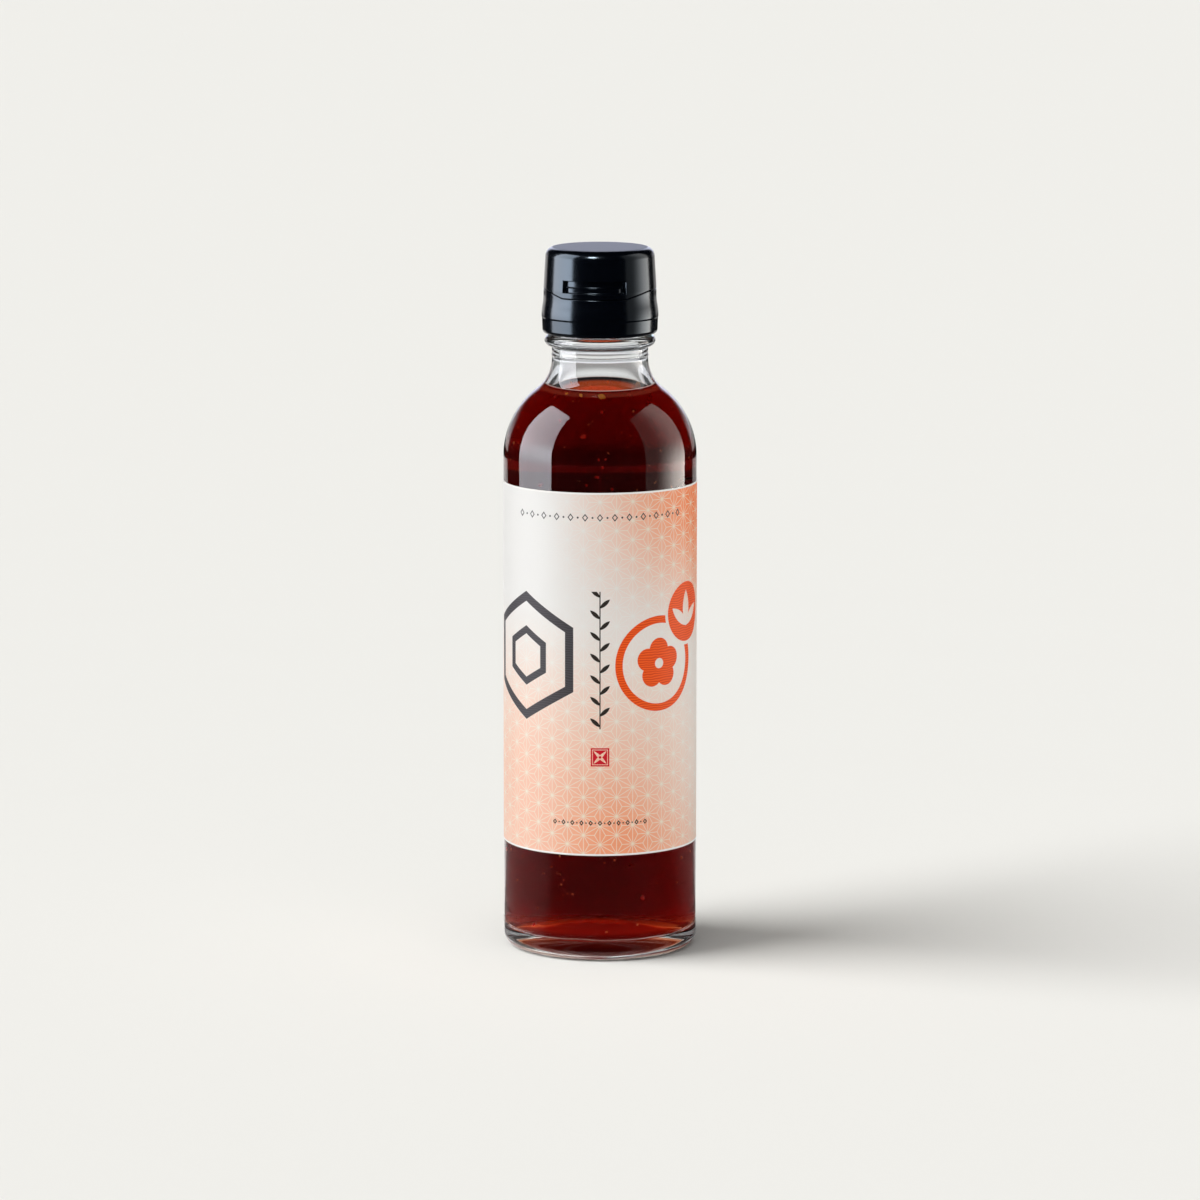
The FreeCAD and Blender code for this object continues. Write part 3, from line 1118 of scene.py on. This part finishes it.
def soft_panel(name, azimuth, low_turn, high_turn, top_turn, glow, colour):
    """Upright light panel, square on to the azimuth, seen by the bottle only as a reflection. Turns
    are degrees from its middle line, and up to its top, as seen from the bottle."""
    distance = 0.6
    centre = heading(azimuth) * distance
    side = heading(azimuth + 90)
    left = centre + side * distance * math.tan(math.radians(low_turn))
    right = centre + side * distance * math.tan(math.radians(high_turn))
    top = Vector((0, 0, distance * math.tan(math.radians(top_turn)) + body_height))
    mesh = bpy.data.meshes.new(name)
    mesh.from_pydata([tuple(c) for c in (left, right, right + top, left + top)], [], [(0, 1, 2, 3)])
    layer = mesh.uv_layers.new(name="panel_map")
    for loop, corner in zip(layer.data, ((0, 0), (1, 0), (1, 1), (0, 1))):
        loop.uv = corner
    mesh.materials.append(panel_light(name, glow, colour))
    only_mirrored(bpy.data.objects.new(name, mesh))


def panel_light(name, glow, colour):
    """Panel light. Glow gives the strength from the place across the panel and up it, 0 to 1."""
    made, tree = material(name)
    place_on = parts_of(tree, add(tree, "ShaderNodeTexCoord").outputs["UV"])
    strength = glow(Num(tree, place_on["X"]), Num(tree, place_on["Y"])).socket
    light = add(tree, "ShaderNodeEmission", {"Color": colour, "Strength": strength})
    finish_with(tree, light.outputs[0])
    return made


def left_glow(x, y):
    """Weakest along its foot; low down it gains towards the front, and higher up it fades there."""
    low = y.ramp(0.36, 0.20)
    across = 1 + x.ramp(0.0, 1.0) * low * 0.5 - x.ramp(0.7, 1.0) * (1 - low) * 0.10
    return across * (y.ramp(0.0, 0.2) * 2.5 + 4.0)


def right_glow(x, y):
    """Bright towards the back and low down, faint elsewhere."""
    return x.ramp(0.18, 0.68) * (1 - y.ramp(-0.05, 0.33) * 0.82) * 6.6 + 0.35


def top_lamp():
    """Small round lamp high on the left, seen only as a spot of gloss on the cap and the liquid."""
    disc_r, sides, distance = 0.10, 32, 0.8
    out = heading(-19, 45)
    angles = np.arange(sides) * TAU / sides
    mesh = bpy.data.meshes.new("top_lamp")
    mesh.from_pydata([(disc_r * math.cos(a), disc_r * math.sin(a), 0) for a in angles], [],
                     [tuple(range(sides))])
    made, tree = material("top_lamp")
    light = add(tree, "ShaderNodeEmission", {"Color": (1, 1, 1, 1), "Strength": 45.0})
    finish_with(tree, light.outputs[0])
    mesh.materials.append(made)
    disc = bpy.data.objects.new("top_lamp", mesh)
    disc.location = out * distance + Vector((0, 0, body_height))
    disc.rotation_euler = out.to_track_quat("Z", "Y").to_euler()
    only_mirrored(disc)
    disc.light_linking.receiver_collection = lamp_takers


def lamp(name, azimuth, rise, strength, spread, receivers, shadow=True):
    """A wide sun lamp that lights one group only and leaves no mirror image."""
    data = bpy.data.lights.new(name, "SUN")
    data.energy = strength * math.pi
    data.angle = math.radians(spread)
    data.use_shadow = shadow
    made = bpy.data.objects.new(name, data)
    made.rotation_euler = heading(azimuth, rise).to_track_quat("Z", "Y").to_euler()
    made.visible_glossy = False
    made.visible_transmission = False
    studio.objects.link(made)
    made.light_linking.receiver_collection = receivers


def floor_in_gloss(tree, x, y):
    """What the bottle's gloss mirrors of the floor: dark all round, a little lit at the left and the
    right rear, and pale only behind the bottle, where a gap stands for the cap's shade."""
    distance = length(x, y)
    turn = x.do("ARCTAN2", -y) * (360 / TAU)
    near = 1 - distance.ramp(0.15, 0.40)
    lit = (turn.ramp(-50, -66) * 0.21 + turn.ramp(84, 108) * 0.12 + 0.018) * near + 0.004
    cap_shade = distance.ramp(0.90, 0.98) * distance.ramp(1.60, 1.45)
    under_foot = 1 - distance.ramp(0.0265, 0.030)
    behind = (abs(turn).ramp(142.5, 145.5) * (1 - cap_shade)).upper(under_foot)
    backdrop = (x / distance).ramp(0.3, -0.3) * 0.30 + 0.48
    tone = lit + behind * (backdrop - lit)
    return add(tree, "ShaderNodeCombineColor", {
        0: tone.socket, 1: (tone * 0.96).socket, 2: (tone * 0.94).socket}).outputs[0]


def floor_through_glass(tree, x, y):
    """What clear glass shows of the floor: pale, with a painted dark ring farther off that draws the
    glass's edges, and a painted bright ring, brighter than white, under the bottle's foot."""
    distance = length(x, y)
    pale = mix(tree, distance.ramp(0.80, 0.90).socket, (0.72, 0.73, 0.72, 1), (0.72, 0.725, 0.76, 1))
    # painted shade: a dark ring that draws the glass's edges
    dark_ring = distance.ramp(0.45, 0.62) * distance.ramp(0.82, 0.76) * 0.62
    # painted light: a ring brighter than white under the foot
    foot_ring = distance.ramp(0.0165, 0.0172) * distance.ramp(0.026, 0.0245)
    ringed = mix(tree, dark_ring.socket, pale, (0, 0, 0, 1))
    return mix(tree, foot_ring.socket, ringed, (3.4, 3.5, 3.6, 1))


def make_floor():
    """Plain pale floor, seen from below as if it were not there."""
    half = 12.0
    pale = (0.755, 0.748, 0.715, 1)
    mesh = bpy.data.meshes.new("pale_floor")
    mesh.from_pydata([(-half, -half, 0), (half, -half, 0), (half, half, 0), (-half, half, 0)], [],
                     [(0, 1, 2, 3)])
    made, tree = material("pale_floor")
    ray = add(tree, "ShaderNodeLightPath").outputs
    below = add(tree, "ShaderNodeNewGeometry").outputs["Backfacing"]
    spot = parts_of(tree, own_place(tree))
    x, y = Num(tree, spot["X"]), Num(tree, spot["Y"])
    colour = mix(tree, ray["Is Glossy Ray"], pale, floor_in_gloss(tree, x, y))
    colour = mix(tree, ray["Is Transmission Ray"], colour, floor_through_glass(tree, x, y))
    paint = add(tree, "ShaderNodeBsdfDiffuse", {"Color": colour})
    see_through = add(tree, "ShaderNodeBsdfTransparent")
    both = add(tree, "ShaderNodeMixShader", {0: below, 1: paint.outputs[0], 2: see_through.outputs[0]})
    finish_with(tree, both.outputs[0])
    mesh.materials.append(made)
    floor = bpy.data.objects.new("pale_floor", mesh)
    floor_group.objects.link(floor)


def room_in_gloss(tree, turn, height):
    """What gloss mirrors of the room: dark in front and at the sides, pale only behind the bottle."""
    low = ramp(tree, height, 0.24, -0.03)
    behind = calc(tree, "MULTIPLY", ramp(tree, turn, math.radians(142.5), math.radians(146)), low)
    below_lid = ramp(tree, height, 0.62, 0.42)
    straight_behind = calc(tree, "MULTIPLY", ramp(tree, turn, math.radians(158), math.radians(171)),
                           below_lid)
    mirrored = mix(tree, behind, (0.002, 0.002, 0.003, 1), (0.86, 0.84, 0.90, 1))
    return mix(tree, straight_behind, mirrored, (1.40, 1.46, 1.82, 1))


def room_through_glass(tree, turn, height):
    """What clear glass shows of the room: pale, with a dark strip at each side of the back that draws
    the glass's edges, and dimmer for light that the base turns upwards."""
    strips = calc(tree, "MULTIPLY", ramp(tree, turn, math.radians(124), math.radians(128)),
                  ramp(tree, turn, math.radians(150), math.radians(146)))
    strips = calc(tree, "MULTIPLY", strips, 0.9)
    rising = calc(tree, "MULTIPLY", ramp(tree, height, 0.02, 0.08), 0.6)
    seen = mix(tree, strips, (0.70, 0.70, 0.71, 1), (0.03, 0.03, 0.03, 1))
    return mix(tree, rising, seen, (0, 0, 0, 1))


def make_world():
    """Pale room, with tones of its own for what gloss mirrors and what clear glass shows."""
    room_light = (0.14, 0.14, 0.14, 1)
    pale = (0.862, 0.853, 0.815, 1)
    world = bpy.data.worlds.new("pale_room")
    world.use_nodes = True
    tree = world.node_tree
    tree.nodes.clear()
    ray = add(tree, "ShaderNodeLightPath").outputs
    towards = parts_of(tree, add(tree, "ShaderNodeTexCoord").outputs["Generated"])
    turn = calc(tree, "ABSOLUTE", calc(tree, "ARCTAN2", towards["X"],
                                       calc(tree, "MULTIPLY", towards["Y"], -1.0)))
    mirrored = room_in_gloss(tree, turn, towards["Z"])
    seen_through = room_through_glass(tree, turn, towards["Z"])
    colour = mix(tree, ray["Is Glossy Ray"], room_light, mirrored)
    colour = mix(tree, ray["Is Transmission Ray"], colour, seen_through)
    colour = mix(tree, ray["Is Camera Ray"], colour, pale)
    back = add(tree, "ShaderNodeBackground", {"Color": colour, "Strength": 1.0})
    add(tree, "ShaderNodeOutputWorld", {"Surface": back.outputs[0]})
    bpy.context.scene.world = world


def make_camera():
    """Long lens, a little above the bottle, looking slightly down at a point on its axis."""
    distance = 1.5779
    tilt = math.radians(9.35)
    aim_height = 0.08887
    data = bpy.data.cameras.new("camera")
    data.sensor_width = 36
    data.lens = 186
    data.clip_start = 0.01
    data.clip_end = 100
    camera = bpy.data.objects.new("camera", data)
    camera.location = (0, -distance * math.cos(tilt), aim_height + distance * math.sin(tilt))
    camera.rotation_euler = (math.pi / 2 - tilt, 0, 0)
    studio.objects.link(camera)
    bpy.context.scene.camera = camera


make_glass()
sauce_fill = make_sauce()
make_bits()
lid_moulding = make_lid()
base_moulding = make_cap_base()
make_hinge()
make_label()
for taker in (sauce_fill, lid_moulding, base_moulding):
    lamp_takers.objects.link(taker)

make_floor()
make_world()
make_camera()
soft_panel("left_panel", -73, -38, 14, 54.8, left_glow, (0.95, 0.96, 1.03, 1))
soft_panel("right_panel", 76.5, -21.5, 43.5, 53.5, right_glow, (1.0, 0.93, 0.86, 1))
top_lamp()
lamp("floor_key", -80, 36, 1.335, 52, floor_group)
lamp("floor_fill", 0, 60, 0.267, 60, floor_group, shadow=False)
lamp("left_light", -70, 25, 0.57, 60, bottle)
lamp("front_light", 0, 20, 0.14, 60, bottle)
lamp("right_light", 75, 25, 0.30, 60, bottle)
lamp("back_light", 180, 25, 0.45, 60, bottle)

bpy.context.scene.view_settings.view_transform = "Standard"
